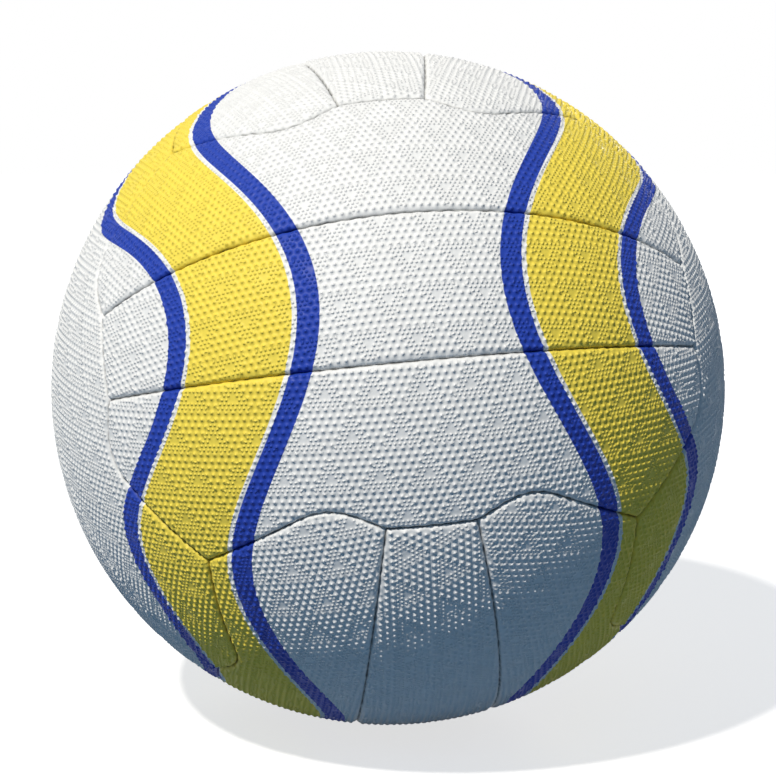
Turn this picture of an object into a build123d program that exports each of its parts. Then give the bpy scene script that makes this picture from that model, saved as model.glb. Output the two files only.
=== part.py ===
"""A size 5 netball: eighteen stitched cover panels round an inflated bladder with its valve.

Millimetres and degrees. The origin is the ball's centre and +Z is up, with the ball lying as it was rolled.
The cover is six groups of three strips. In the frame of one group, +Z is the middle of the group, its strips run
along X and lie side by side along Y. Every seam between two panels is a stretch of a great circle.
"""

import math
import os

from build123d import *

# The whole ball
ball_radius = 111.4  # 700 mm round, the middle of the size 5 rule
panel_thickness = 2.0  # grip sheet and its bonded backing together

# How the ball lies: its front group is tipped up, leaned over sideways and swung round
lie_tip = -25.0
lie_lean = -6.4
lie_swing = 3.4

# Strips, as angles seen from the ball's centre
strip_half_angle = 11.45  # half the middle strip's width
bend_count = 11  # a strip is bent in this many lengths, each curved across the strip only
end_angle = 54.0  # the middle strip's end, from the middle of its group
peak_reach = 4.0  # how far past it the sides of an outer strip's peak would meet
peak_across = 27.0
peak_round_corner = 0.24  # how far the peak's rounding reaches towards the corner of three groups
peak_round_end = 0.60  # and towards the middle strip's end

# Seams
seam_gap = 0.3
seam_bevel = 1.4  # taken off each panel's upper edge, so that two panels leave a V between them

# Bladder
bladder_clearance = 0.2
bladder_wall = 0.8
bladder_gores = 12  # an even count, each curved from one flat end to the other only
bladder_cap_radius = 15.0  # flat ends, one of them the valve's seat

# Valve
neck_radius = 3.8
neck_clearance = 0.2
neck_recess = 0.4  # the neck's face lies this far under the panel's
flange_radius = 11.0
flange_thickness = 1.4
flange_clearance = 0.1
stem_radius = 3.2
stem_length = 15.0  # below the flange
air_hole_radius = 0.6
core_head_radius = 2.6
core_head_height = 0.8
core_radius = 1.9
core_length = 13.0
core_clearance = 0.1
needle_radius = 0.8
needle_depth = 10.0

centre = Vector(0, 0, 0)
inner_radius = ball_radius - panel_thickness
length_angle = 2 * end_angle / (bend_count - 1)  # the last length touches the ball at the strip's end
far = 2 * ball_radius  # past everything


def direction(along, across):
    """The direction at these two angles from the middle of a group, measured along and across its strips."""
    return Vector(math.tan(math.radians(along)), math.tan(math.radians(across)), 1)


# Outlines of the panels

corner = Vector(1, 1, 1)  # where three groups meet
peak = direction(end_angle + peak_reach, peak_across)
inner_end = direction(end_angle, strip_half_angle)
rounding_start = peak + (corner - peak) * peak_round_corner
rounding_stop = peak + (inner_end - peak) * peak_round_end
rounding_middle = (rounding_start + peak * 2 + rounding_stop) / 4
strip_end = [corner, rounding_start, rounding_middle, rounding_stop, inner_end]
# The next group's strips run square to these and end in the same way, so its peaks poke in from the side
next_strip_end = [Vector(p.Y, p.Z, p.X) for p in strip_end]


def other_half(points):
    """The same run of points on the other half of the strip, in the opposite order."""
    return [Vector(-p.X, p.Y, p.Z) for p in reversed(points)]


def outline(*runs):
    """The corners of a closed outline as unit directions, with each shared corner once."""
    points = [p.normalized() for run in runs for p in run]
    return [p for i, p in enumerate(points) if (p - points[i - 1]).length > 1e-6]


outer_outline = outline(strip_end[::-1], next_strip_end, other_half(next_strip_end), other_half(strip_end[::-1]))
near_end = Vector(inner_end.X, -inner_end.Y, inner_end.Z)
middle_outline = outline([near_end, inner_end], other_half([near_end, inner_end]))


def sides_of(points):
    """Each side of an outline as its two ends and the normal of its great circle, which points into the panel."""
    pairs = zip(points, points[1:] + points[:1])
    return [(a, b, a.cross(b).normalized()) for a, b in pairs]


def drawn_in(points, distance):
    """An outline whose sides all lie this much further in, measured on the ball's surface."""
    share = math.sin(distance / ball_radius)
    sides = sides_of(points)
    moved = []
    for (_, at, before), (_, _, after) in zip(sides, sides[1:] + sides[:1]):
        inwards = (before + after) * (share / (1 + before.dot(after)))
        upright = at - inwards * (at.dot(inwards) / inwards.dot(inwards))
        moved.append(inwards + upright.normalized() * math.sqrt(1 - inwards.dot(inwards)))
    return moved


def pyramid(points):
    """The space behind an outline, from the ball's centre out past its surface."""
    base = [p * (far / p.Z) for p in points]
    sides = [Face(Wire.make_polygon([centre, a, b])) for a, b in zip(base, base[1:] + base[:1])]
    return Solid(Shell([*sides, Face(Wire.make_polygon(base))]))


def bent_block(points, radius):
    """What an outline cuts from a ball of this radius that is bent in lengths along the strip."""
    with BuildPart() as block:
        add(pyramid(points))
        for k in range(bend_count):
            lean = (k - (bend_count - 1) / 2) * length_angle
            Cylinder(radius, 2 * far, rotation=(0, 90 + lean, 0), mode=Mode.INTERSECT)
    return block.part


def cover_panel(points):
    """A panel in its group's frame: a bent sheet cut to its outline, bevelled along every side."""
    with BuildPart() as panel:
        add(bent_block(drawn_in(points, seam_gap / 2), ball_radius))
        walls = panel.faces().filter_by(GeomType.PLANE)
        skin_edges = panel.faces().filter_by(GeomType.CYLINDER).edges()
        rim = [edge for edge in walls.edges() if any(edge.is_same(other) for other in skin_edges)]
        chamfer(rim, length=seam_bevel)
        add(bent_block(points, inner_radius), mode=Mode.SUBTRACT)
    return panel


# Places of the six groups, and the pieces of each in order from its -Y strip to its +Y strip

ball = Plane.XZ.rotated((lie_tip, lie_lean, lie_swing))
front = Plane(centre, x_dir=ball.x_dir, z_dir=ball.z_dir)
back = Plane(centre, x_dir=ball.x_dir, z_dir=-ball.z_dir)
right = Plane(centre, x_dir=ball.y_dir, z_dir=ball.x_dir)
left = Plane(centre, x_dir=ball.y_dir, z_dir=-ball.x_dir)
top = Plane(centre, x_dir=ball.z_dir, z_dir=ball.y_dir)
bottom = Plane(centre, x_dir=ball.z_dir, z_dir=-ball.y_dir)
groups = {
    "front": (front, "lower", "upper"),
    "back": (back, "upper", "lower"),
    "right": (right, "back", "front"),
    "left": (left, "front", "back"),
    "top": (top, "left", "right"),
    "bottom": (bottom, "right", "left"),
}


def half_turned(plane):
    """The same group's frame with its strips in the opposite order."""
    return Plane(centre, x_dir=-plane.x_dir, z_dir=plane.z_dir)


outer_panel = cover_panel(outer_outline)
middle_panel = cover_panel(middle_outline)

with BuildPart() as valve_panel:
    add(middle_panel.part)
    with Locations((0, 0, inner_radius)):
        Cylinder(neck_radius + neck_clearance, far, mode=Mode.SUBTRACT)

os.makedirs("parts", exist_ok=True)


def write(shape, plane, name):
    """One named piece, moved from its own frame to its place in the ball."""
    placed = plane.from_local_coords(shape.part)
    placed.label = name
    export_step(placed, f"parts/{name}.step")


for group, (plane, minus_strip, plus_strip) in groups.items():
    write(outer_panel, half_turned(plane), f"{group}_{minus_strip}_panel")
    write(valve_panel if plane is back else middle_panel, plane, f"{group}_middle_panel")
    write(outer_panel, plane, f"{group}_{plus_strip}_panel")


# Bladder, in the back group's frame with the valve on +Z

gore_radius = (inner_radius - bladder_clearance) * math.cos(math.pi / bladder_gores)
cap_height = math.sqrt(gore_radius**2 - bladder_cap_radius**2)


def gored_ball(radius, half_height):
    """A ball of gores with two flat ends."""
    with BuildPart() as gored:
        Cylinder(2 * radius, 2 * half_height)
        for k in range(bladder_gores // 2):
            Cylinder(radius, 2 * far, rotation=(90, k * 360 / bladder_gores, 0), mode=Mode.INTERSECT)
    return gored.part


with BuildPart() as bladder:
    add(gored_ball(gore_radius, cap_height))
    add(gored_ball(gore_radius - bladder_wall, cap_height - bladder_wall), mode=Mode.SUBTRACT)
    with Locations((0, 0, cap_height)):
        Cylinder(neck_radius + neck_clearance, 4 * bladder_wall, mode=Mode.SUBTRACT)

# Valve, on the same axis: a rubber housing bonded inside the bladder, and the core pushed into it

neck_top = ball_radius - neck_recess
flange_top = cap_height - bladder_wall - flange_clearance
stem_bottom = flange_top - flange_thickness - stem_length
head_seat = neck_top - core_head_height
core_bottom = head_seat - core_length
bore_radius = core_radius + core_clearance
head_bore_radius = core_head_radius + core_clearance

with BuildPart() as valve_housing:
    with BuildSketch(Plane.XZ):
        with BuildLine():
            Polyline(
                (air_hole_radius, stem_bottom),
                (stem_radius, stem_bottom),
                (stem_radius, flange_top - flange_thickness),
                (flange_radius, flange_top - flange_thickness),
                (flange_radius, flange_top),
                (neck_radius, flange_top),
                (neck_radius, neck_top),
                (head_bore_radius, neck_top),
                (head_bore_radius, head_seat - core_clearance),
                (bore_radius, head_seat - core_clearance),
                (bore_radius, core_bottom - core_clearance),
                (air_hole_radius, core_bottom - core_clearance),
                close=True,
            )
        make_face()
    revolve(axis=Axis.Z)

with BuildPart() as valve_core:
    with BuildSketch(Plane.XZ):
        with BuildLine():
            Polyline(
                (0, core_bottom),
                (core_radius, core_bottom),
                (core_radius, head_seat),
                (core_head_radius, head_seat),
                (core_head_radius, neck_top),
                (needle_radius, neck_top),
                (needle_radius, neck_top - needle_depth),
                (0, neck_top - needle_depth),
                close=True,
            )
        make_face()
    revolve(axis=Axis.Z)

write(bladder, back, "bladder")
write(valve_housing, back, "valve_housing")
write(valve_core, back, "valve_core")
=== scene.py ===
"""The looks of a netball: a pimpled grip cover in eighteen panels, its bladder and its valve, on a stage.

Metres and radians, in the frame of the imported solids. The cover is six groups of three strips. In the frame
of one group its strips run along X and lie side by side along Y, and Z points out through its middle.
"""

import math

import bpy
import numpy as np
from bpy.props import FloatProperty, FloatVectorProperty, IntProperty, PointerProperty
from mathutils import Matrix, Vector


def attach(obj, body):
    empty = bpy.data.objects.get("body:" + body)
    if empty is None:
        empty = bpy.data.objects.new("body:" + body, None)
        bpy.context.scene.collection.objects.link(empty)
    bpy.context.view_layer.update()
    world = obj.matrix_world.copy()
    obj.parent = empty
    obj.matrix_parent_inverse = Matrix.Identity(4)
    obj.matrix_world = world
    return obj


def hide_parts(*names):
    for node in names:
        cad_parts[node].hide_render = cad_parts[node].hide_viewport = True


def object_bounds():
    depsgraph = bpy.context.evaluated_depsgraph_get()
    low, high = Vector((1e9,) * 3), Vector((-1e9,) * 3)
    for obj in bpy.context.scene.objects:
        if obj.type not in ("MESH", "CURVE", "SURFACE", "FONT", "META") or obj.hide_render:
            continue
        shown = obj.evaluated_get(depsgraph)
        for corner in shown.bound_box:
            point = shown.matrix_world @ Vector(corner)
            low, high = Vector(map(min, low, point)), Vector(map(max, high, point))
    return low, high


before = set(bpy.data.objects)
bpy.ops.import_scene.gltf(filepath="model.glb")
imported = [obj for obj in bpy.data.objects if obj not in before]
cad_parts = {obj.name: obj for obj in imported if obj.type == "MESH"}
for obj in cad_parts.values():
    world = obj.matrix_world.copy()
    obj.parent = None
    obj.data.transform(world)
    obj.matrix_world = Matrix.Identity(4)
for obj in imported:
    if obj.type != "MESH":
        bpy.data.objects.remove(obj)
cad_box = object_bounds()

bl_info = {
    "name": "Netball",
    "version": (1, 0, 0),
    "blender": (4, 5, 0),
    "location": "View3D > Sidebar > Netball",
    "description": "Builds a netball's cover, bladder and valve over its packed solids",
    "category": "Add Mesh",
}

MM = 0.001


# Sizes and colours


def linear(code):
    """A linear colour from an sRGB hex code."""
    values = [int(code[k : k + 2], 16) / 255 for k in (1, 3, 5)]
    return tuple(v / 12.92 if v <= 0.04045 else ((v + 0.055) / 1.055) ** 2.4 for v in values)


def length(name, description, millimetres):
    """A length that a user can change."""
    return FloatProperty(name=name, description=description, default=millimetres * MM, unit="LENGTH")


def angle(name, description, degrees):
    """An angle that a user can change."""
    return FloatProperty(name=name, description=description, default=math.radians(degrees), subtype="ANGLE")


def share(name, description, value):
    """A share from 0 to 1 that a user can change."""
    return FloatProperty(name=name, description=description, default=value, subtype="FACTOR")


def tone(name, description, code):
    """A colour that a user can change."""
    return FloatVectorProperty(name=name, description=description, default=linear(code), subtype="COLOR")


def place(name, description, millimetres):
    """A place that a user can change."""
    metres = [v * MM for v in millimetres]
    return FloatVectorProperty(name=name, description=description, default=metres, unit="LENGTH")


class NetballCover(bpy.types.PropertyGroup):
    """Shape of the cover's strips and seams."""

    radius: length("Ball radius", "Surface between the pimples", 111.1)
    thickness: length("Thickness", "Grip sheet and its backing together", 2.0)
    half_angle: angle("Strip half width", "Half the middle strip's width, from the ball's centre", 11.45)
    end_angle: angle("Strip end", "The middle strip's end, from the middle of its group", 54.0)
    peak_reach: angle("Peak reach", "How far past it the sides of an outer strip's peak would meet", 4.0)
    peak_across: angle("Peak across", "Where the peak lies across the group", 27.0)
    round_corner: share(
        "Rounding to the corner", "Share of the peak's side towards the corner of three groups", 0.24
    )
    round_end: share("Rounding to the end", "Share of the peak's side towards the middle strip's end", 0.60)
    lie_tip: angle("Lie tip", "How far the front group is tipped up", -25.0)
    lie_lean: angle("Lie lean", "How far it is leaned over sideways", -6.4)
    lie_swing: angle("Lie swing", "How far it is swung round", 3.4)
    seam_gap: length("Seam gap", "Between two panels' edges", 0.08)
    seam_depth: length("Seam depth", "How far an edge rolls down", 0.8)
    seam_roll: length("Seam roll", "Width of an edge's rolled lip", 1.6)
    pucker: length("Pucker", "How much deeper an edge is pulled at each stitch", 0.5)
    stitch: length("Stitch", "Spacing of the stitches", 4.4)


class NetballGrip(bpy.types.PropertyGroup):
    """Sizes of the moulded pimples."""

    step: length("Step", "Spacing of the surface's points", 0.46)
    large_every: IntProperty(name="Large every", description="Steps between two large pimples", default=5)
    small_every: IntProperty(name="Small every", description="Steps between two small pimples", default=3)
    field: IntProperty(name="Field", description="Steps along a field of like pimples", default=30)
    plain: IntProperty(
        name="Plain", description="Steps from a small field's sides to its plain triangle", default=8
    )
    large_radius: length("Large radius", "Foot of a large pimple", 0.74)
    small_radius: length("Small radius", "Foot of a small pimple", 0.52)
    large_height: length("Large height", "Height of a large pimple", 0.50)
    large_edge: length("Large edge", "Height of the crisper edge on a large pimple", 0.20)
    small_height: length("Small height", "Height of a small pimple", 0.30)
    small_edge: length("Small edge", "Height of the crisper edge on a small pimple", 0.28)
    draw: share("Draw", "How far the points round a large pimple are drawn in to it", 0.2)
    fade_from: length("Fade from", "Pimples begin this far from a seam", 0.3)
    fade_to: length("Fade to", "Pimples are full from here", 1.2)


class NetballPrint(bpy.types.PropertyGroup):
    """Printed rings and the colours of the cover."""

    ring_angle: angle("Ring angle", "Middle of a ring, from the ball's left or right side", 57.0)
    sway: angle("Sway", "How far a ring winds to each side", 7.0)
    waves: IntProperty(name="Waves", description="Times that a ring winds on its way round", default=4)
    half_width: angle("Half width", "Half a ring's width", 12.5)
    border: length("Border", "Width of the blue border", 6.6)
    keyline: length("Keyline", "Bare line inside the border", 1.5)
    white: tone("White", "Grip rubber", "#ECECEA")
    blue: tone("Blue", "Border ink", "#2140A6")
    yellow: tone("Yellow", "Inner ink", "#F3DB55")


class NetballBladder(bpy.types.PropertyGroup):
    """Sizes of the bladder and of the valve in it."""

    clearance: length("Bladder clearance", "Between the cover and the bladder", 0.2)
    wall: length("Bladder wall", "Thickness of the bladder", 0.8)
    seat_depth: length("Seat depth", "From the cover's surface down to the flat seat of the valve", 6.9)
    neck_radius: length("Neck radius", "Valve neck", 3.8)
    neck_clearance: length("Neck clearance", "Between the neck and the holes that it goes through", 0.2)
    neck_recess: length("Neck recess", "How far the neck's face lies under the cover's", 0.4)
    flange_radius: length("Flange radius", "Valve flange under the bladder's wall", 11.0)
    flange_thickness: length("Flange thickness", "Valve flange", 1.4)
    flange_clearance: length("Flange clearance", "Between the flange and the bladder's wall", 0.1)
    stem_radius: length("Stem radius", "Valve stem below the flange", 3.2)
    stem_length: length("Stem length", "Below the flange", 15.0)
    air_hole_radius: length("Air hole radius", "Through the foot of the stem", 0.6)
    head_radius: length("Core head radius", "Head of the valve's core", 2.6)
    head_height: length("Core head height", "Head of the valve's core", 0.8)
    core_radius: length("Core radius", "Valve core", 1.9)
    core_length: length("Core length", "Below its head", 13.0)
    core_clearance: length("Core clearance", "Between the core and its housing", 0.1)
    needle_radius: length("Needle radius", "Bore that the needle goes into", 0.8)
    needle_depth: length("Needle depth", "Of that bore", 10.0)
    edge_round: length("Edge rounding", "Moulded edges of the valve", 0.3)


class NetballStage(bpy.types.PropertyGroup):
    """Camera, light and floor."""

    distance: length("Camera distance", "To the ball's centre", 630)
    elevation: angle("Elevation", "Camera above level", 10)
    lens: FloatProperty(name="Lens", description="Focal length in millimetres", default=86.9, unit="CAMERA")
    key: FloatProperty(
        name="Key light", description="Power of the lamp above the front left", default=180.0, unit="POWER"
    )
    key_size: length("Key size", "Width of that lamp", 180)
    key_place: place("Key place", "Where that lamp hangs", (-1330, -2070, 3170))
    rear: FloatProperty(
        name="Rear light", description="Power of the lamp behind", default=11.0, unit="POWER"
    )
    rear_size: length("Rear size", "Width of that lamp", 800)
    rear_place: place("Rear place", "Where that lamp hangs", (600, 1600, 400))
    warmth: tone("Warmth", "Colour of the lamps", "#FFFAF2")
    sky: tone("Sky", "Colour of the light all round", "#95CBFF")
    fill: FloatProperty(name="Fill", description="Strength of the light all round", default=0.16)
    bounce: tone("Bounce", "Floor's colour in the light that it throws back", "#456582")
    board: tone("Board", "Floor's colour to the lens, where the lamps light it", "#B4B4B4")


# Surfaces

ROW = math.sqrt(0.75)  # rows of a triangular lattice lie this share of a step apart
SNAP = 0.45  # share of a step within which a lattice point moves onto an outline
PEAK_POINTS = 9  # along the rounding of a peak
REACH_SPARE = math.radians(1)  # how far a lattice runs past its outline
DRAWN_FULL = 2  # steps from a large pimple within which points are drawn in by the full share
TINY = 1e-9  # keeps a division from failing at the axis
BACK_RINGS = 5  # on the back of a panel, from its rim to where they close
HOLE_RIM = 1.5  # a panel's rim belongs to its hole within this many radii of the hole
SKIN_STRIP = (1, 0.96)  # part of the texture, across and up, that a panel's top takes
BACK_STRIP, BACK_FROM = (1, 0.03), (0, 0.97)  # the part that its walls and back take, and where it begins
WELD_DECIMALS = 9  # of a metre, to which points in one place agree
MOST_CUT = 0.45  # share of a profile's side that the bend of a corner may take
BEND_STEPS = 4  # along such a bend
BLADDER_POINTS = 72  # along the bladder's profile
BLADDER_SEGMENTS = 96  # round the bladder
VALVE_SEGMENTS = 72  # round the valve


def unit(vectors):
    """The same directions with length 1."""
    return vectors / np.linalg.norm(vectors, axis=-1, keepdims=True)


def direction(along, across):
    """The direction at two angles from a group's middle: their tangents along and across it, and 1."""
    return np.array([math.tan(along), math.tan(across), 1.0])


def strip_end(cover):
    """Half the end of a group's outer strip: from the corner of three groups, round its peak, to the
    middle strip. The peak is a quadratic curve between points on its two sides."""
    corner = np.ones(3)
    peak = direction(cover.end_angle + cover.peak_reach, cover.peak_across)
    inner = direction(cover.end_angle, cover.half_angle)
    start = peak + (corner - peak) * cover.round_corner
    stop = peak + (inner - peak) * cover.round_end
    t = np.linspace(0, 1, PEAK_POINTS)[:, None]
    bend = (1 - t) ** 2 * start + 2 * t * (1 - t) * peak + t**2 * stop
    return np.vstack([corner, bend, inner])


def outlines(cover):
    """Corners of the two panel shapes as unit directions, anticlockwise. Every side is a stretch of a
    great circle. The next group's strips run square to these and end in the same way, so its peaks poke
    in from the side."""
    end = strip_end(cover)
    side = end[:, [1, 2, 0]]
    other_half = np.array([-1, 1, 1])
    outer = np.vstack([end[::-1], side[1:], (side * other_half)[::-1], (end * other_half)[1:]])
    inner = end[-1] * np.array([[1, -1, 1], [1, 1, 1], [-1, 1, 1], [-1, -1, 1]])
    return unit(outer), unit(inner)


def arc(a, b):
    """The angle between unit directions, from the chord between them."""
    return 2 * np.arcsin(np.linalg.norm(a - b, axis=-1) / 2)


def edge_distance(points, outline):
    """Angle from each point to an outline's nearest side, positive inside, with that side's nearest
    point, its normal and the angle run along the outline to there. A point is inside where a line from
    it, drawn on the flat picture of the group, crosses the outline an odd number of times."""
    best = np.full(len(points), np.inf)
    foot, normal = np.zeros_like(points), np.zeros_like(points)
    run, begun = np.zeros(len(points)), 0.0
    crossings = np.zeros(len(points), int)
    flat = points[:, :2] / points[:, 2:]
    for a, b in zip(outline, np.roll(outline, -1, axis=0)):
        n = unit(np.cross(a, b))
        near = unit(points - (points @ n)[:, None] * n)
        within = (np.cross(a, near) @ n > 0) & (np.cross(near, b) @ n > 0)
        nearer_end = np.where((points @ a > points @ b)[:, None], a, b)
        near = np.where(within[:, None], near, nearer_end)
        away = arc(points, near)
        closer = away < best
        best[closer] = away[closer]
        foot[closer] = near[closer]
        normal[closer] = n
        run[closer] = begun + arc(near[closer], a)
        begun += arc(a, b)
        (ax, ay), (bx, by) = a[:2] / a[2], b[:2] / b[2]
        spans = (ay > flat[:, 1]) != (by > flat[:, 1])
        meets = ax + (flat[:, 1] - ay) * (bx - ax) / np.where(by == ay, 1, by - ay)
        crossings += spans & (flat[:, 0] < meets)
    return np.where(crossings % 2 == 1, best, -best), foot, normal, run


def lattice(q, r, step, lean):
    """Angles and directions of lattice points. A point at u along and v across its strip's middle line
    lies in the direction (sin u cos v, sin v, cos u cos v), and the strip is then leaned over across
    its group."""
    u, v = ((q + r / 2) * step).ravel(), (r * step * ROW).ravel()
    local = np.stack([np.sin(u) * np.cos(v), np.sin(v), np.cos(u) * np.cos(v)], axis=1)
    c, s = math.cos(lean), math.sin(lean)
    return u, v, local @ np.array([[1, 0, 0], [0, c, -s], [0, s, c]])


def reach_of(outline, lean):
    """The furthest angles along and across that an outline comes to, at its corners or halfway along
    its sides. They are lattice's u and v, found back from a direction by a tangent and a sine."""
    halfway = unit(outline + np.roll(outline, -1, axis=0))
    x, y, z = np.vstack([outline, halfway]).T
    c, s = math.cos(lean), math.sin(lean)
    along, across = np.arctan2(x, y * s + z * c), np.arcsin(y * c - z * s)
    return abs(along).max() + REACH_SPARE, abs(across).max() + REACH_SPARE


def triangles(r):
    """Corners of a lattice's triangles. Its rows are shifted by half a step in turn, so the diagonals
    change sides."""
    k = np.arange(r.size).reshape(r.shape)
    a, b, d, e = k[:-1, :-1], k[:-1, 1:], k[1:, :-1], k[1:, 1:]
    even = (np.mod(r[:-1, :-1], 2) == 0)[..., None]
    first = np.where(even, np.stack([a, b, d], -1), np.stack([a, b, e], -1))
    second = np.where(even, np.stack([b, e, d], -1), np.stack([a, e, d], -1))
    return np.concatenate([first.reshape(-1, 3), second.reshape(-1, 3)])


def nearest_centre(q, r, every):
    """The nearest pimple of a triangular lattice with this spacing, by rounding its three coordinates
    together, and the steps to there."""
    x, z = q / every, r / every
    y = -x - z
    rx, ry, rz = np.round(x), np.round(y), np.round(z)
    ex, ey, ez = abs(rx - x), abs(ry - y), abs(rz - z)
    cq = np.where((ex > ey) & (ex > ez), -ry - rz, rx) * every
    cr = np.where((ez >= ex) & (ez >= ey), -rx - ry, rz) * every
    dq, dr = q - cq, r - cr
    return cq, cr, np.sqrt(dq * dq + dq * dr + dr * dr)


def dome(distance, foot_radius):
    """A rounded pimple: 1 at its centre and 0 from its foot on, as half an ellipse."""
    return np.sqrt(np.clip(1 - (distance / foot_radius) ** 2, 0, 1))


def field_inset(q, r, field):
    """Steps from a lattice point in to the nearest side of its field, 0 or less on a field of large
    pimples. Two runs of lines cut the lattice into rhombuses, and a third cuts each into a large and a
    small field."""
    a, b = np.mod(q, field), np.mod(r, field)
    return np.minimum(np.minimum(field - a, field - b), a + b - field)


def pimples(q, r, pull, grip):
    """Pimples over a lattice of triangular fields: large ones on every second field, and on the rest
    small ones round a plain triangle. Gives the lattice drawn in to each large pimple, by a share that
    falls from full near it to none at the corners of its cell, then the height at each point, and 1
    where small ones are, -1 where large ones are or 0 on a plain triangle."""
    cq, cr, steps = nearest_centre(q, r, grip.large_every)
    large = field_inset(cq, cr, grip.field) <= 0
    corner = grip.large_every / math.sqrt(3)
    drawn = grip.draw * pull * large * np.clip((corner - steps) / (corner - DRAWN_FULL), 0, 1)
    drawn_q, drawn_r = q + (cq - q) * drawn, r + (cr - r) * drawn
    heights = grip.large_height * large * dome(steps * (1 - drawn) * grip.step, grip.large_radius)

    cq, cr, steps = nearest_centre(q, r, grip.small_every)
    inset = field_inset(cq, cr, grip.field)
    small = (inset > 0) & (inset < grip.plain)
    heights = np.maximum(heights, grip.small_height * small * dome(steps * grip.step, grip.small_radius))
    inset = field_inset(q, r, grip.field)
    kind = np.where(inset <= 0, -1, np.clip(grip.plain - inset, 0, 1))
    return drawn_q, drawn_r, heights.ravel(), kind.ravel()


def rolled_edge(distance, width):
    """A rolled lip as a quarter of an ellipse: 1 at the edge, falling to 0 over the lip's width."""
    t = np.clip(1 - distance / width, 0, 1)
    return 1 - np.sqrt(1 - t * t)


def round_hole(points, hole):
    """How far out from the edge of a round hole about Z each point lies, by the sines of their angles,
    and the nearest point there. The hole is given by its own angle."""
    across = np.hypot(points[:, 0], points[:, 1])
    ring = points[:, :2] / np.maximum(across, TINY)[:, None] * math.sin(hole)
    return across - math.sin(hole), np.column_stack([ring, np.full(len(points), math.cos(hole))])


def panel_surface(outline, lean, cover, grip, hole=0.0):
    """A pimpled panel on a triangular lattice of two angles, one along its strip and one across,
    trimmed to its outline.

    The height over a lattice point is the ball's radius with its pimple added, less the rolled edge and
    the pull of the stitches, which a cosine of the run along the seam gives. Points within nearly half
    a step of the outline move onto it."""
    step = grip.step / cover.radius
    reach = reach_of(outline, lean)
    columns, rows = int(reach[0] / step), int(reach[1] / (step * ROW))
    r, i = np.meshgrid(np.arange(-rows, rows + 1), np.arange(-columns, columns + 1), indexing="ij")
    q = i - np.floor_divide(r, 2)
    points = lattice(q, r, step, lean)[2]
    inside, foot, normal, run = edge_distance(points, outline)
    distance = inside * cover.radius - cover.seam_gap / 2
    edge = unit(foot + normal * (cover.seam_gap / 2 / cover.radius))
    if hole:
        from_hole, hole_edge = round_hole(points, hole / cover.radius)
        nearer = from_hole * cover.radius < distance
        distance = np.where(nearer, from_hole * cover.radius, distance)
        edge = np.where(nearer[:, None], hole_edge, edge)
    pull = np.clip(distance / grip.fade_to - 1, 0, 1).reshape(q.shape)
    drawn_q, drawn_r, heights, kind = pimples(q, r, pull, grip)
    u, v, points = lattice(drawn_q, drawn_r, step, lean)
    snapped = distance < SNAP * grip.step
    points = np.where(snapped[:, None], edge, points)
    there = distance > -SNAP * grip.step
    far_off = np.where(there & snapped, 0, np.inf)
    at_corners = [np.argmin(np.linalg.norm(points - corner, axis=1) + far_off) for corner in outline]
    points[at_corners] = outline

    seam = np.where(snapped, 0, distance)
    fade = np.clip((seam - grip.fade_from) / (grip.fade_to - grip.fade_from), 0, 1)
    fade = fade * fade * (3 - 2 * fade)
    pulled = 0.5 + 0.5 * np.cos(run * (2 * math.pi * cover.radius / cover.stitch))
    pucker = cover.pucker * pulled * np.clip(1 - seam / cover.seam_roll, 0, 1) ** 2
    radius = cover.radius + heights * fade - pucker - cover.seam_depth * rolled_edge(seam, cover.seam_roll)

    faces = triangles(r)
    faces = faces[there[faces].all(1) & ~snapped[faces].all(1)]
    used, faces = np.unique(faces, return_inverse=True)
    flat = np.stack([u / (2 * reach[0]) + 0.5, v / (2 * reach[1]) + 0.5], axis=1)
    top = {
        "co": (points * radius[:, None])[used],
        "faces": faces.reshape(-1, 3),
        "uv": np.clip(flat, 0, 1)[used],
        "seam": seam[used],
        "grip": np.stack([q.ravel() / grip.field, r.ravel() / grip.field, kind * fade], axis=1)[used],
    }
    return welded(joined(top, underside(top, lean, cover, hole)))


def underside(top, lean, cover, hole):
    """The walls and the back of a panel: its rim carried down to the back's radius, then on in rings
    that close to a point under its middle, or to the nearest points of its hole's rim. A ring's points
    all lie the same share of the way there."""
    corners = top["faces"]
    edges = np.concatenate([corners[:, [0, 1]], corners[:, [1, 2]], corners[:, [2, 0]]])
    count = len(top["co"])
    on_rim = ~np.isin(edges[:, 0] * count + edges[:, 1], edges[:, 1] * count + edges[:, 0])
    rim, ends = np.unique(edges[on_rim], return_inverse=True)
    ends = ends.reshape(-1, 2)
    outward = unit(top["co"][rim])
    middle = np.array([0, math.sin(lean), math.cos(lean)])
    goal = np.broadcast_to(middle, outward.shape)
    if hole:
        round_way = unit(outward[:, :2])
        at_hole = np.flatnonzero(outward @ middle > math.cos(HOLE_RIM * hole / cover.radius))
        goal = outward[at_hole[np.argmax(round_way @ round_way[at_hole].T, axis=1)]]
    shares = np.linspace(0, 1, BACK_RINGS)[:, None, None]
    back = unit(outward + (goal - outward) * shares) * (cover.radius - cover.thickness)
    rings = np.concatenate([top["co"][rim][None], back])
    first = np.arange(len(rings) - 1)[:, None] * len(rim)
    a, b = ends[:, 0] + first, ends[:, 1] + first
    next_a, next_b = a + len(rim), b + len(rim)
    faces = np.concatenate([np.stack([b, a, next_a], -1), np.stack([b, next_a, next_b], -1)])
    co, faces = rings.reshape(-1, 3), faces.reshape(-1, 3)
    sideways = outward[:, 1] * math.cos(lean) - outward[:, 2] * math.sin(lean)
    turn = np.arctan2(sideways, outward[:, 0]) / (2 * math.pi) + 0.5
    level = np.repeat(np.linspace(0, 1, len(rings)), len(rim))
    return {
        "co": co,
        "faces": faces,
        "uv": np.stack([np.tile(turn, len(rings)), level], axis=1),
        "seam": np.zeros(len(co)),
        "grip": np.zeros(co.shape),
    }


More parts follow.
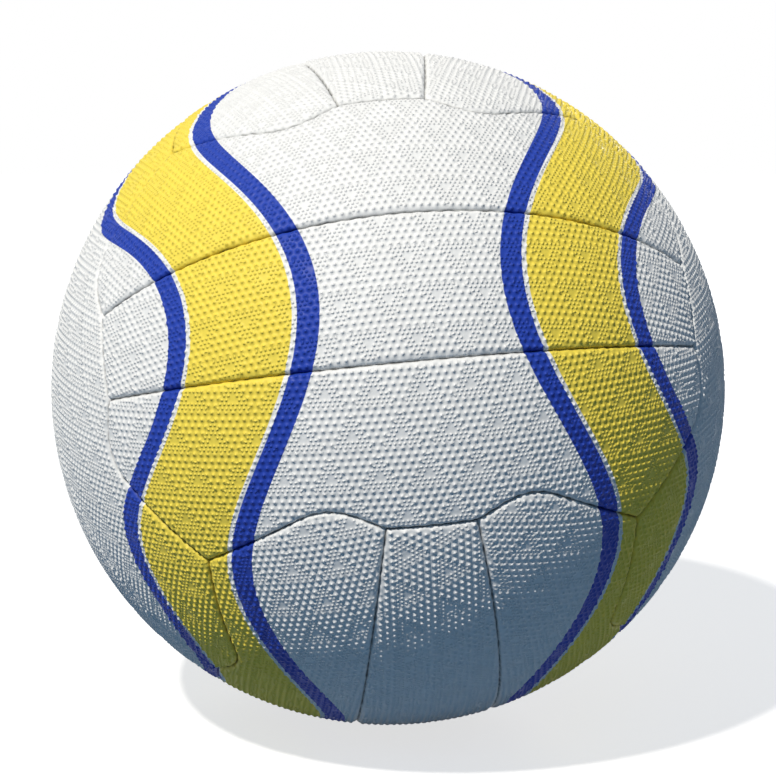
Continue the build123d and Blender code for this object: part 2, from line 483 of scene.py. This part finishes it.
def joined(top, under):
    """One surface of two, with the second on a narrow strip of the texture above the first."""
    surface = {key: np.concatenate([top[key], under[key]]) for key in ("co", "seam", "grip")}
    surface["faces"] = np.concatenate([top["faces"], under["faces"] + len(top["co"])])
    surface["uv"] = np.concatenate([top["uv"] * SKIN_STRIP, under["uv"] * BACK_STRIP + BACK_FROM])
    return surface


def welded(surface):
    """The same surface with its points in one place made one point, and without the triangles that this
    flattens. Its texture coordinates are then kept by the corners of its triangles."""
    places = np.round(surface["co"], WELD_DECIMALS)
    _, first, one = np.unique(places, axis=0, return_index=True, return_inverse=True)
    faces = one.reshape(-1)[surface["faces"]]
    whole = (faces != np.roll(faces, 1, axis=1)).all(1)
    closed = {key: surface[key][first] for key in ("co", "seam", "grip") if key in surface}
    closed["faces"] = faces[whole]
    if "uv" in surface:
        closed["uv"] = surface["uv"][surface["faces"][whole]]
    return closed


def turned(profile, segments):
    """A surface of revolution: a closed profile of (radius, height) points swept once round Z."""
    t = np.arange(segments) * (2 * math.pi / segments)
    radius, height = profile[:, :1], np.repeat(profile[:, 1:], segments, axis=1)
    co = np.stack([radius * np.cos(t), radius * np.sin(t), height], axis=-1).reshape(-1, 3)
    k = np.arange(len(co)).reshape(height.shape)
    after, round_on = np.roll(k, -1, axis=0), np.roll(k, -1, axis=1)
    across = np.roll(after, -1, axis=1)
    faces = np.concatenate([np.stack([k, round_on, across], -1), np.stack([k, across, after], -1)])
    return welded({"co": co, "faces": faces.reshape(-1, 3)})


def rounded_profile(corners, radius):
    """A closed profile whose corners off the axis are bent by a quadratic curve between their sides."""
    corners = np.array(corners)
    before, after = np.roll(corners, 1, axis=0) - corners, np.roll(corners, -1, axis=0) - corners
    shorter = np.minimum(np.linalg.norm(before, axis=1), np.linalg.norm(after, axis=1))
    cut = np.minimum(radius, MOST_CUT * shorter)[:, None] * (corners[:, :1] > 0)
    start, stop = corners + unit(before) * cut, corners + unit(after) * cut
    t = np.linspace(0, 1, BEND_STEPS + 1)[None, :, None]
    bend = (1 - t) ** 2 * start[:, None] + 2 * t * (1 - t) * corners[:, None] + t**2 * stop[:, None]
    return bend.reshape(-1, 2)


def group_frames(cover):
    """Axes of each group of strips: along the strips, across them, and out through its middle."""
    lie = (cover.lie_tip, cover.lie_lean, cover.lie_swing)
    (ct, st), (cl, sl), (cs, ss) = [(math.cos(a), math.sin(a)) for a in lie]
    tip = np.array([[1, 0, 0], [0, ct, -st], [0, st, ct]])
    lean = np.array([[cl, 0, sl], [0, 1, 0], [-sl, 0, cl]])
    swing = np.array([[cs, -ss, 0], [ss, cs, 0], [0, 0, 1]])
    turn = tip @ lean @ swing
    x, y, z = turn[:, 0], turn[:, 2], -turn[:, 1]
    pairs = {
        "front": (x, z),
        "back": (x, -z),
        "right": (y, x),
        "left": (y, -x),
        "top": (z, y),
        "bottom": (z, -y),
    }
    return {name: np.array([along, np.cross(out, along), out]) for name, (along, out) in pairs.items()}


def add_piece(node, surface, axes, material):
    """A finished object in the ball's frame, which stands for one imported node."""
    co = surface["co"] @ axes
    faces = surface["faces"]
    mesh = bpy.data.meshes.new(node + "_skin")
    mesh.vertices.add(len(co))
    mesh.vertices.foreach_set("co", co.ravel())
    mesh.loops.add(faces.size)
    mesh.loops.foreach_set("vertex_index", faces.ravel())
    mesh.polygons.add(len(faces))
    mesh.polygons.foreach_set("loop_start", np.arange(0, faces.size, faces.shape[1]))
    mesh.update(calc_edges=True)
    mesh.polygons.foreach_set("use_smooth", np.ones(len(faces), bool))
    if "uv" in surface:
        layer = mesh.uv_layers.new(name="OFBake")
        layer.uv.foreach_set("vector", surface["uv"].ravel())
        seam = mesh.attributes.new("seam", "FLOAT", "POINT")
        seam.data.foreach_set("value", surface["seam"] / MM)
        grip = mesh.attributes.new("grip", "FLOAT_VECTOR", "POINT")
        grip.data.foreach_set("vector", surface["grip"].ravel())
    mesh.materials.append(material)
    piece = bpy.data.objects.new(node + "_skin", mesh)
    bpy.context.scene.collection.objects.link(piece)
    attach(piece, "root")
    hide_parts(node)


# Materials

RUBBER_IOR = 1.52
COVER_SPECULAR = 0.22  # under the plain 0.5, because the etched skin scatters much of its reflection
COVER_ROUGHNESS = {"To Min": 0.46, "To Max": 0.62}  # from worn skin to fresh skin
SHEEN = 2.0 * MM  # patches of more and less worn skin
INK_EDGE = 0.12  # millimetres over which an ink's edge fades into the rubber
SMALL_FROM, LARGE_FROM = 0.0, 0.6  # sums of three cosines from which small and large tops rise
SEAM_SHADE_WIDTH = 0.6  # millimetres from a seam's edge over which painted shade darkens the colour, standing in for the groove's shade
SEAM_SHADE_SPOTS = 2.5 * MM  # from one darker spot of the painted seam shade to the next
SEAM_SHADE_TONES = {"To Min": 0.2, "To Max": 1.0}  # share of the colour that the painted seam shade leaves, at its darkest spot and at its lightest
BLOT = 7.0 * MM  # cloudy patches that handling leaves
BLOT_TONES = {"To Min": 0.95, "To Max": 1.0}  # share of the colour left, in such a patch and out of it
GRAIN = 0.25 * MM  # etched grain of the mould, coarser than the real one so that it shows
GRAIN_HEIGHT, GRAIN_STRENGTH = 0.03 * MM, 0.6
BLOOM = 1.5 * MM  # patches of bloom on black rubber
BLOOM_GAIN = 1.7  # how much paler such a patch is
BLACK_SKIN = 0.6 * MM  # patches of smoother and duller black rubber
BLACK_ROUGHNESS = {"To Min": 0.5, "To Max": 0.68}
DETAIL, GRAIN_DETAIL = 3.0, 2.0  # how often a noise's patches are halved
COLOUR_A, COLOUR_B, COLOUR_OUT = 6, 7, 2  # a Mix node's sockets for colours, whose names aren't unique
NOISE = {"From Min": 0.3, "From Max": 0.7}  # a noise lies almost wholly between these
FLOOR_HALF = 3.0  # metres from the floor's middle to its edges
FLOOR_GLOW = {"From Min": 0.25, "From Max": 0.8, "To Min": 0.70, "To Max": 1.0}  # by metres from the ball


def add_node(tree, kind, inputs=None, output=0, **settings):
    """Adds a node with its settings, sets its inputs or links them from other sockets, and gives one of
    its outputs."""
    node = tree.nodes.new(kind)
    for key, value in settings.items():
        setattr(node, key, value)
    for key, value in (inputs or {}).items():
        if isinstance(value, bpy.types.NodeSocket):
            tree.links.new(value, node.inputs[key])
        else:
            node.inputs[key].default_value = value
    return node.outputs[output] if node.outputs else None


def blank(owner):
    """The emptied node tree of a new material or world."""
    owner.use_nodes = True
    owner.node_tree.nodes.clear()
    return owner.node_tree


def ring_depth(tree, where, axes, ink, radius):
    """Depth inside the two printed rings in millimetres. A ring goes round the ball's left or right
    side, at an angle from that side that rises and falls as a cosine of the turn round it."""
    outward = add_node(tree, "ShaderNodeVectorMath", {0: where}, operation="NORMALIZE")
    x, y, z = [
        add_node(tree, "ShaderNodeVectorMath", {0: outward, 1: axis}, "Value", operation="DOT_PRODUCT")
        for axis in axes
    ]
    either_side = add_node(tree, "ShaderNodeMath", {0: x}, operation="ABSOLUTE")
    from_side = add_node(tree, "ShaderNodeMath", {0: either_side}, operation="ARCCOSINE")
    turn = add_node(tree, "ShaderNodeMath", {0: y, 1: z}, operation="ARCTAN2")
    waves = add_node(tree, "ShaderNodeMath", {0: turn, 1: ink.waves}, operation="MULTIPLY")
    wave = add_node(tree, "ShaderNodeMath", {0: waves}, operation="COSINE")
    wound = {0: wave, 1: ink.sway, 2: ink.ring_angle}
    middle = add_node(tree, "ShaderNodeMath", wound, operation="MULTIPLY_ADD")
    off = add_node(tree, "ShaderNodeMath", {0: from_side, 1: middle}, operation="SUBTRACT")
    aside = add_node(tree, "ShaderNodeMath", {0: off}, operation="ABSOLUTE")
    inside = add_node(tree, "ShaderNodeMath", {0: ink.half_width, 1: aside}, operation="SUBTRACT")
    return add_node(tree, "ShaderNodeMath", {0: inside, 1: radius / MM}, operation="MULTIPLY")


def printed_colour(tree, where, axes, ink, radius):
    """White rubber with a blue border, a bare keyline and a yellow middle laid over it by depth."""
    depth = ring_depth(tree, where, axes, ink, radius)
    colour = (*ink.white, 1)
    for start, layer in ((0, ink.blue), (ink.border, ink.white), (ink.border + ink.keyline, ink.yellow)):
        sockets = {"Value": depth, "From Min": start / MM - INK_EDGE, "From Max": start / MM + INK_EDGE}
        covered = add_node(tree, "ShaderNodeMapRange", sockets, interpolation_type="SMOOTHSTEP")
        laid = {0: covered, COLOUR_A: colour, COLOUR_B: (*layer, 1)}
        colour = add_node(tree, "ShaderNodeMix", laid, COLOUR_OUT, data_type="RGBA")
    return colour


def pimple_tops(tree, along, across, count, low):
    """Rounded tops from 0 to 1, so many to a field: three cosines that run at 60 degrees to each other
    along the fields are added, and the part of their sum above a low value is kept. It is at most 3."""
    first = add_node(tree, "ShaderNodeMath", {0: along, 1: 2 * math.pi * count}, operation="MULTIPLY")
    second = add_node(tree, "ShaderNodeMath", {0: across, 1: 2 * math.pi * count}, operation="MULTIPLY")
    third = add_node(tree, "ShaderNodeMath", {0: first, 1: second}, operation="ADD")
    runs = (first, second, third)
    waves = [add_node(tree, "ShaderNodeMath", {0: run}, operation="COSINE") for run in runs]
    two = add_node(tree, "ShaderNodeMath", {0: waves[0], 1: waves[1]}, operation="ADD")
    three = add_node(tree, "ShaderNodeMath", {0: two, 1: waves[2]}, operation="ADD")
    return add_node(tree, "ShaderNodeMapRange", {"Value": three, "From Min": low, "From Max": 3.0})


def fine_pimples(tree, grip):
    """Heights in metres that the mesh is too coarse for: a crisper edge on the pimples. The third value
    of the surface's grip attribute says which kind a point has, 1 for small and -1 for large."""
    fields = add_node(tree, "ShaderNodeAttribute", output="Vector", attribute_name="grip")
    along, across, kind = add_node(tree, "ShaderNodeSeparateXYZ", {0: fields}).node.outputs
    heights = 0.0
    for side, count, low, height in (
        (1.0, grip.field / grip.small_every, SMALL_FROM, grip.small_edge),
        (-1.0, grip.field / grip.large_every, LARGE_FROM, grip.large_edge),
    ):
        tops = pimple_tops(tree, along, across, count, low)
        rising = {"Value": kind, "From Min": 0.0, "From Max": side, "To Max": height}
        there = add_node(tree, "ShaderNodeMapRange", rising)
        added = {0: tops, 1: there, 2: heights}
        heights = add_node(tree, "ShaderNodeMath", added, operation="MULTIPLY_ADD")
    return heights


def grip_rubber(cover, grip, ink, axes):
    """Natural rubber moulded against an etched plate and screen printed."""
    # The eye sees a soft, nearly matt white that breaks up into pimples, with faint clouds where hands
    # have been. A dark, uneven line of painted shade runs along each seam, on top of its groove's own shade
    material = bpy.data.materials.new("Moulded natural rubber")
    tree = blank(material)
    where = add_node(tree, "ShaderNodeTexCoord", output="Object")
    seam = add_node(tree, "ShaderNodeAttribute", output="Fac", attribute_name="seam")
    clouds = add_node(tree, "ShaderNodeTexNoise", {"Vector": where, "Scale": 1 / BLOT, "Detail": DETAIL})
    mottle = add_node(tree, "ShaderNodeMapRange", {"Value": clouds, **NOISE, **BLOT_TONES})
    # Painted shade: the colour is darkened near each seam's edge, more at some spots along it than at others,
    # in place of the shade in the seam's groove
    pull = add_node(tree, "ShaderNodeTexNoise", {"Vector": where, "Scale": 1 / SEAM_SHADE_SPOTS, "Detail": DETAIL})
    seam_shade_tone = add_node(tree, "ShaderNodeMapRange", {"Value": pull, **NOISE, **SEAM_SHADE_TONES})
    line = {"Value": seam, "From Min": 0.0, "From Max": SEAM_SHADE_WIDTH, "To Min": seam_shade_tone, "To Max": 1.0}
    painted_seam_shade = add_node(tree, "ShaderNodeMapRange", line, interpolation_type="SMOOTHSTEP")
    shade = add_node(tree, "ShaderNodeMath", {0: mottle, 1: painted_seam_shade}, operation="MULTIPLY")
    colour = printed_colour(tree, where, axes, ink, cover.radius)
    colour = add_node(tree, "ShaderNodeVectorMath", {0: colour, "Scale": shade}, operation="SCALE")
    patches = add_node(tree, "ShaderNodeTexNoise", {"Vector": where, "Scale": 1 / SHEEN, "Detail": DETAIL})
    roughness = add_node(tree, "ShaderNodeMapRange", {"Value": patches, **NOISE, **COVER_ROUGHNESS})
    fine = {"Vector": where, "Scale": 1 / GRAIN, "Detail": GRAIN_DETAIL}
    grain = add_node(tree, "ShaderNodeTexNoise", fine)
    raised = {"Height": fine_pimples(tree, grip), "Distance": 1.0, "Strength": 1.0}
    pimpled = add_node(tree, "ShaderNodeBump", raised)
    etched = {"Height": grain, "Distance": GRAIN_HEIGHT, "Strength": GRAIN_STRENGTH, "Normal": pimpled}
    bump = add_node(tree, "ShaderNodeBump", etched)
    finish = {
        "Base Color": colour,
        "Roughness": roughness,
        "Normal": bump,
        "IOR": RUBBER_IOR,
        "Specular IOR Level": COVER_SPECULAR,
    }
    shader = add_node(tree, "ShaderNodeBsdfPrincipled", finish)
    add_node(tree, "ShaderNodeOutputMaterial", {"Surface": shader})
    return material


def black_rubber(name, code):
    """Carbon-black rubber, pressed in a smooth mould."""
    # The eye sees a dull, even black with a faint grey bloom that rises to the surface in small patches
    material = bpy.data.materials.new(name)
    tree = blank(material)
    where = add_node(tree, "ShaderNodeTexCoord", output="Object")
    patches = add_node(tree, "ShaderNodeTexNoise", {"Vector": where, "Scale": 1 / BLOOM, "Detail": DETAIL})
    bloom = add_node(tree, "ShaderNodeMapRange", {"Value": patches, **NOISE})
    black = linear(code)
    grey = tuple(BLOOM_GAIN * v for v in black)
    bloomed = {0: bloom, COLOUR_A: (*black, 1), COLOUR_B: (*grey, 1)}
    colour = add_node(tree, "ShaderNodeMix", bloomed, COLOUR_OUT, data_type="RGBA")
    small = {"Vector": where, "Scale": 1 / BLACK_SKIN, "Detail": DETAIL}
    skin = add_node(tree, "ShaderNodeTexNoise", small)
    roughness = add_node(tree, "ShaderNodeMapRange", {"Value": skin, **NOISE, **BLACK_ROUGHNESS})
    finish = {"Base Color": colour, "Roughness": roughness, "IOR": RUBBER_IOR}
    shader = add_node(tree, "ShaderNodeBsdfPrincipled", finish)
    add_node(tree, "ShaderNodeOutputMaterial", {"Surface": shader})
    return material


def seen_by_lens(tree):
    """1 where the camera looks, straight or by way of gloss or glass, and 0 for the light that falls on
    the ball."""
    camera = add_node(tree, "ShaderNodeLightPath", output="Is Camera Ray")
    gloss = add_node(tree, "ShaderNodeLightPath", output="Is Glossy Ray")
    glass = add_node(tree, "ShaderNodeLightPath", output="Is Transmission Ray")
    camera_or_gloss = add_node(tree, "ShaderNodeMath", {0: camera, 1: gloss}, operation="MAXIMUM")
    return add_node(tree, "ShaderNodeMath", {0: camera_or_gloss, 1: glass}, operation="MAXIMUM")


def pale_floor(stage):
    """Painted board, white to the lens and with the ball's shadow on it. It glows a little less near
    the ball, where the lamps make up for that, and it throws back a cool, dim light."""
    material = bpy.data.materials.new("Pale painted board")
    tree = blank(material)
    spot = add_node(tree, "ShaderNodeTexCoord", output="Object")
    away = add_node(tree, "ShaderNodeVectorMath", {0: spot}, "Value", operation="LENGTH")
    by_distance = {"Value": away, **FLOOR_GLOW}
    glow = add_node(tree, "ShaderNodeMapRange", by_distance, interpolation_type="SMOOTHSTEP")
    white = add_node(tree, "ShaderNodeEmission", {"Color": (1, 1, 1, 1), "Strength": glow})
    shaded = add_node(tree, "ShaderNodeBsdfDiffuse", {"Color": (*stage.board, 1)})
    shown = add_node(tree, "ShaderNodeAddShader", {0: white, 1: shaded})
    matt = add_node(tree, "ShaderNodeBsdfDiffuse", {"Color": (*stage.bounce, 1)})
    board = add_node(tree, "ShaderNodeMixShader", {0: seen_by_lens(tree), 1: matt, 2: shown})
    add_node(tree, "ShaderNodeOutputMaterial", {"Surface": board})
    return material


def studio_world(stage):
    """White to the lens, with a dim light from all round."""
    world = bpy.data.worlds.new("Studio")
    tree = blank(world)
    sky = add_node(tree, "ShaderNodeBackground", {"Color": (*stage.sky, 1), "Strength": stage.fill})
    white = add_node(tree, "ShaderNodeBackground", {"Color": (1, 1, 1, 1), "Strength": 1.0})
    room = add_node(tree, "ShaderNodeMixShader", {0: seen_by_lens(tree), 1: sky, 2: white})
    add_node(tree, "ShaderNodeOutputWorld", {"Surface": room})
    return world


# Operators

STRIPS = {
    "front": ("lower", "upper"),
    "back": ("upper", "lower"),
    "right": ("back", "front"),
    "left": ("front", "back"),
    "top": ("left", "right"),
    "bottom": ("right", "left"),
}  # each group's outer strips, at -Y and at +Y


class NETBALL_OT_cover(bpy.types.Operator):
    """Makes the eighteen cover panels"""

    bl_idname = "netball.cover"
    bl_label = "Cover panels"

    def execute(self, context):
        scene = context.scene
        cover, grip = scene.netball_cover, scene.netball_grip
        hole = scene.netball_bladder.neck_radius + scene.netball_bladder.neck_clearance
        outer_outline, middle_outline = outlines(cover)
        group_edge = math.pi / 2 - cover.end_angle  # a group's edge, where the next group's strips end
        lean = (cover.half_angle + group_edge) / 2
        outer = panel_surface(outer_outline, lean, cover, grip)
        middle = panel_surface(middle_outline, 0.0, cover, grip)
        valve_side = panel_surface(middle_outline, 0.0, cover, grip, hole)
        frames = group_frames(cover)
        rubber = grip_rubber(cover, grip, scene.netball_print, frames["front"])
        half_turn = np.array([[-1], [-1], [1]])
        for group, axes in frames.items():
            low, high = STRIPS[group]
            between = valve_side if group == "back" else middle
            add_piece(f"{group}_{low}_panel", outer, axes * half_turn, rubber)
            add_piece(f"{group}_middle_panel", between, axes, rubber)
            add_piece(f"{group}_{high}_panel", outer, axes, rubber)
        return {"FINISHED"}


class NETBALL_OT_bladder(bpy.types.Operator):
    """Makes the bladder: a round skin in two walls, flattened under the valve"""

    bl_idname = "netball.bladder"
    bl_label = "Bladder"

    def execute(self, context):
        cover, sizes = context.scene.netball_cover, context.scene.netball_bladder
        outside = cover.radius - cover.thickness - sizes.clearance
        seat = cover.radius - sizes.seat_depth
        hole = (sizes.neck_radius + sizes.neck_clearance) / outside
        t = np.linspace(math.pi, math.asin(hole), BLADDER_POINTS)
        outer = np.stack([outside * np.sin(t), np.minimum(outside * np.cos(t), seat)], axis=1)
        inside = outside - sizes.wall
        inner = np.stack([inside * np.sin(t), np.minimum(inside * np.cos(t), seat - sizes.wall)], axis=1)
        skin = turned(np.vstack([outer, inner[::-1]]), BLADDER_SEGMENTS)
        axes = group_frames(cover)["back"]
        add_piece("bladder", skin, axes, black_rubber("Butyl rubber", "#1A1A1B"))
        return {"FINISHED"}


class NETBALL_OT_valve(bpy.types.Operator):
    """Makes the valve's housing and core"""

    bl_idname = "netball.valve"
    bl_label = "Valve"

    def execute(self, context):
        cover, sizes = context.scene.netball_cover, context.scene.netball_bladder
        axes = group_frames(cover)["back"]
        neck_top = cover.radius - sizes.neck_recess
        flange_top = cover.radius - sizes.seat_depth - sizes.wall - sizes.flange_clearance
        flange_bottom = flange_top - sizes.flange_thickness
        stem_bottom = flange_bottom - sizes.stem_length
        head_seat = neck_top - sizes.head_height
        core_bottom = head_seat - sizes.core_length
        needle_end = neck_top - sizes.needle_depth
        head_bore = sizes.head_radius + sizes.core_clearance
        bore = sizes.core_radius + sizes.core_clearance
        housing = [
            (sizes.air_hole_radius, stem_bottom),
            (sizes.stem_radius, stem_bottom),
            (sizes.stem_radius, flange_bottom),
            (sizes.flange_radius, flange_bottom),
            (sizes.flange_radius, flange_top),
            (sizes.neck_radius, flange_top),
            (sizes.neck_radius, neck_top),
            (head_bore, neck_top),
            (head_bore, head_seat - sizes.core_clearance),
            (bore, head_seat - sizes.core_clearance),
            (bore, core_bottom - sizes.core_clearance),
            (sizes.air_hole_radius, core_bottom - sizes.core_clearance),
        ]
        core = [
            (0.0, core_bottom),
            (sizes.core_radius, core_bottom),
            (sizes.core_radius, head_seat),
            (sizes.head_radius, head_seat),
            (sizes.head_radius, neck_top),
            (sizes.needle_radius, neck_top),
            (sizes.needle_radius, needle_end),
            (0.0, needle_end),
        ]
        for node, slot, corners, rubber in (
            ("valve_housing", "valve_rubber", housing, black_rubber("Moulded valve rubber", "#202021")),
            ("valve_core", "valve_core_rubber", core, black_rubber("Soft valve rubber", "#2C2C2E")),
        ):
            surface = turned(rounded_profile(corners, sizes.edge_round), VALVE_SEGMENTS)
            add_piece(node, surface, axes, rubber)
        return {"FINISHED"}


class NETBALL_OT_stage(bpy.types.Operator):
    """Sets the floor, the light and the camera"""

    bl_idname = "netball.stage"
    bl_label = "Stage"

    def execute(self, context):
        scene, stage = context.scene, context.scene.netball_stage
        level, half = cad_box[0][2], FLOOR_HALF
        mesh = bpy.data.meshes.new("floor")
        corners = [(-half, -half, level), (half, -half, level), (half, half, level), (-half, half, level)]
        mesh.from_pydata(corners, [], [(0, 1, 2, 3)])
        mesh.materials.append(pale_floor(stage))
        floor = bpy.data.objects.new("floor", mesh)
        scene.collection.objects.link(floor)
        scene.world = studio_world(stage)
        for name, watts, size, spot in (
            ("key", stage.key, stage.key_size, stage.key_place),
            ("rear", stage.rear, stage.rear_size, stage.rear_place),
        ):
            lamp = bpy.data.lights.new(name, "AREA")
            lamp.shape = "DISK"
            lamp.size = size
            lamp.energy = watts
            lamp.color = stage.warmth
            light = bpy.data.objects.new(name, lamp)
            light.location = spot
            light.rotation_euler = light.location.to_track_quat("Z", "Y").to_euler()
            scene.collection.objects.link(light)
        view = bpy.data.cameras.new("camera")
        view.lens = stage.lens
        camera = bpy.data.objects.new("camera", view)
        towards = Vector((0, -math.cos(stage.elevation), math.sin(stage.elevation)))
        camera.location = towards * stage.distance
        camera.rotation_euler = camera.location.to_track_quat("Z", "Y").to_euler()
        scene.collection.objects.link(camera)
        scene.camera = camera
        scene.view_settings.view_transform = "Standard"
        return {"FINISHED"}


class NETBALL_PT_sidebar(bpy.types.Panel):
    """Lists the sizes and the pieces"""

    bl_idname = "NETBALL_PT_sidebar"
    bl_label = "Netball"
    bl_space_type = "VIEW_3D"
    bl_region_type = "UI"
    bl_category = "Netball"

    def draw(self, context):
        for group, kind in PROPERTIES.items():
            box = self.layout.box()
            for key in kind.__annotations__:
                box.prop(getattr(context.scene, group), key)
        for operator in OPERATORS:
            self.layout.operator(operator.bl_idname)


PROPERTIES = {
    "netball_cover": NetballCover,
    "netball_grip": NetballGrip,
    "netball_print": NetballPrint,
    "netball_bladder": NetballBladder,
    "netball_stage": NetballStage,
}
OPERATORS = (NETBALL_OT_cover, NETBALL_OT_bladder, NETBALL_OT_valve, NETBALL_OT_stage)


def register():
    for group, kind in PROPERTIES.items():
        bpy.utils.register_class(kind)
        setattr(bpy.types.Scene, group, PointerProperty(type=kind))
    for kind in (*OPERATORS, NETBALL_PT_sidebar):
        bpy.utils.register_class(kind)


def unregister():
    for kind in (NETBALL_PT_sidebar, *reversed(OPERATORS)):
        bpy.utils.unregister_class(kind)
    for group, kind in reversed(PROPERTIES.items()):
        delattr(bpy.types.Scene, group)
        bpy.utils.unregister_class(kind)


def main():
    """Builds the pieces and the stage."""
    register()
    bpy.ops.netball.cover()
    bpy.ops.netball.bladder()
    bpy.ops.netball.valve()
    bpy.ops.netball.stage()


if __name__ == "__main__":
    main()
